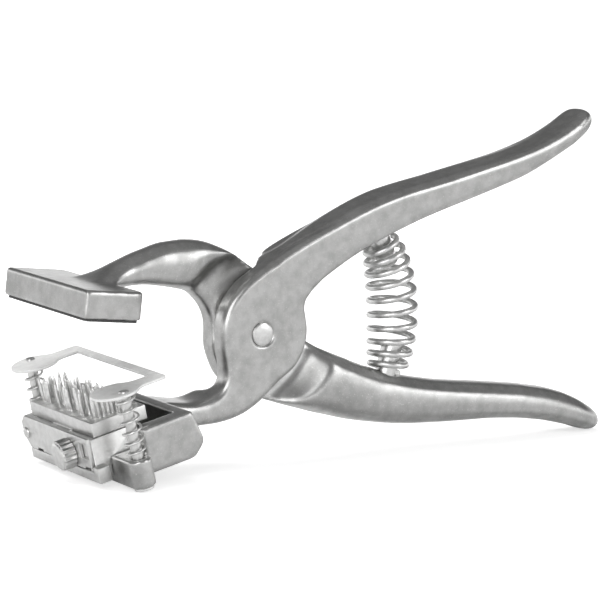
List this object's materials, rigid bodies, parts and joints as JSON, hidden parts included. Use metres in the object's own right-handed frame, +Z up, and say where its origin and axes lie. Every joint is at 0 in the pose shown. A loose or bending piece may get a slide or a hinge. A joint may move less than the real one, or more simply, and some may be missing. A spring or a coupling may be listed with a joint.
{
  "type": "tattoo pliers",
  "caption": "Livestock ear tattoo pliers: lap-jointed cast handles, wide anvil jaw, needle digits in a sliding cassette, sprung release plate and coil opening spring.",
  "frame": {"origin": "under the middle of the tool's bounding box, on the surface that it stands on with its jaws open", "axes": "+X runs from the jaws to the handle tips, +Y across the tool from the clamp screw's side to the gate pivot's side, +Z up"},
  "size_m": [0.2348, 0.0786, 0.1213],
  "materials": {
    "satin_casting": "satin nickel-plated casting, fine grain",
    "cast_block": "satin machined block",
    "digit_metal": "bright needles on a satin base",
    "bright_steel": "bright turned steel",
    "sheet_steel": "bright rolled sheet",
    "spring_wire": "plated drawn wire",
    "pad_rubber": "smooth dark rubber"
  },
  "bodies": {
    "frame": {"lower_jaw_casting": "satin_casting", "pivot_rivet": "bright_steel", "upper_spring_peg": "bright_steel", "main_spring": "spring_wire", "holder_block": "cast_block", "holder_screws": "bright_steel", "digit_cassette": "cast_block", "digit_1": "digit_metal", "digit_2": "digit_metal", "digit_3": "digit_metal", "digit_4": "digit_metal", "digit_5": "digit_metal", "gate_pivot_screw": "bright_steel", "release_spring_near": "spring_wire", "release_spring_far": "spring_wire"},
    "anvil_jaw": {"upper_jaw_casting": "satin_casting", "anvil_pad": "pad_rubber", "lower_spring_peg": "bright_steel"},
    "release": {"release_plate": "sheet_steel", "guide_pin_near": "bright_steel", "guide_pin_far": "bright_steel", "retaining_ring_near": "sheet_steel", "retaining_ring_far": "sheet_steel"},
    "gate": {"gate_plate": "bright_steel"},
    "clamp": {"clamp_screw": "bright_steel"}
  },
  "joints": [
    {"name": "jaw_hinge", "type": "hinge", "parent": "frame", "child": "anvil_jaw", "pos_m": [-0.03619, 0, 0.04564], "axis": [0, -1, 0], "range_deg": [0, 20.4], "stiffness_Nm_per_rad": 4, "springref_deg": -6.88, "deforming": ["main_spring"]},
    {"name": "release_slide", "type": "slide", "parent": "frame", "child": "release", "axis": [0.254, 0, -0.9672], "range_m": [0, 0.0045], "deforming": ["release_spring_near", "release_spring_far"]},
    {"name": "gate_hinge", "type": "hinge", "parent": "frame", "child": "gate", "pos_m": [-0.11002, 0.0242, 0.01054], "axis": [-0.9672, 0, -0.254], "range_deg": [0, 15]},
    {"name": "clamp_turn", "type": "hinge", "parent": "frame", "child": "clamp", "pos_m": [-0.1124, -0.009, 0.00909], "axis": [-0.9672, 0, -0.254], "range_deg": [0, 540]}
  ],
  "couplings": [
    {"joint": "release_slide", "follows": "jaw_hinge", "m_per_rad": 0.0126}
  ]
}
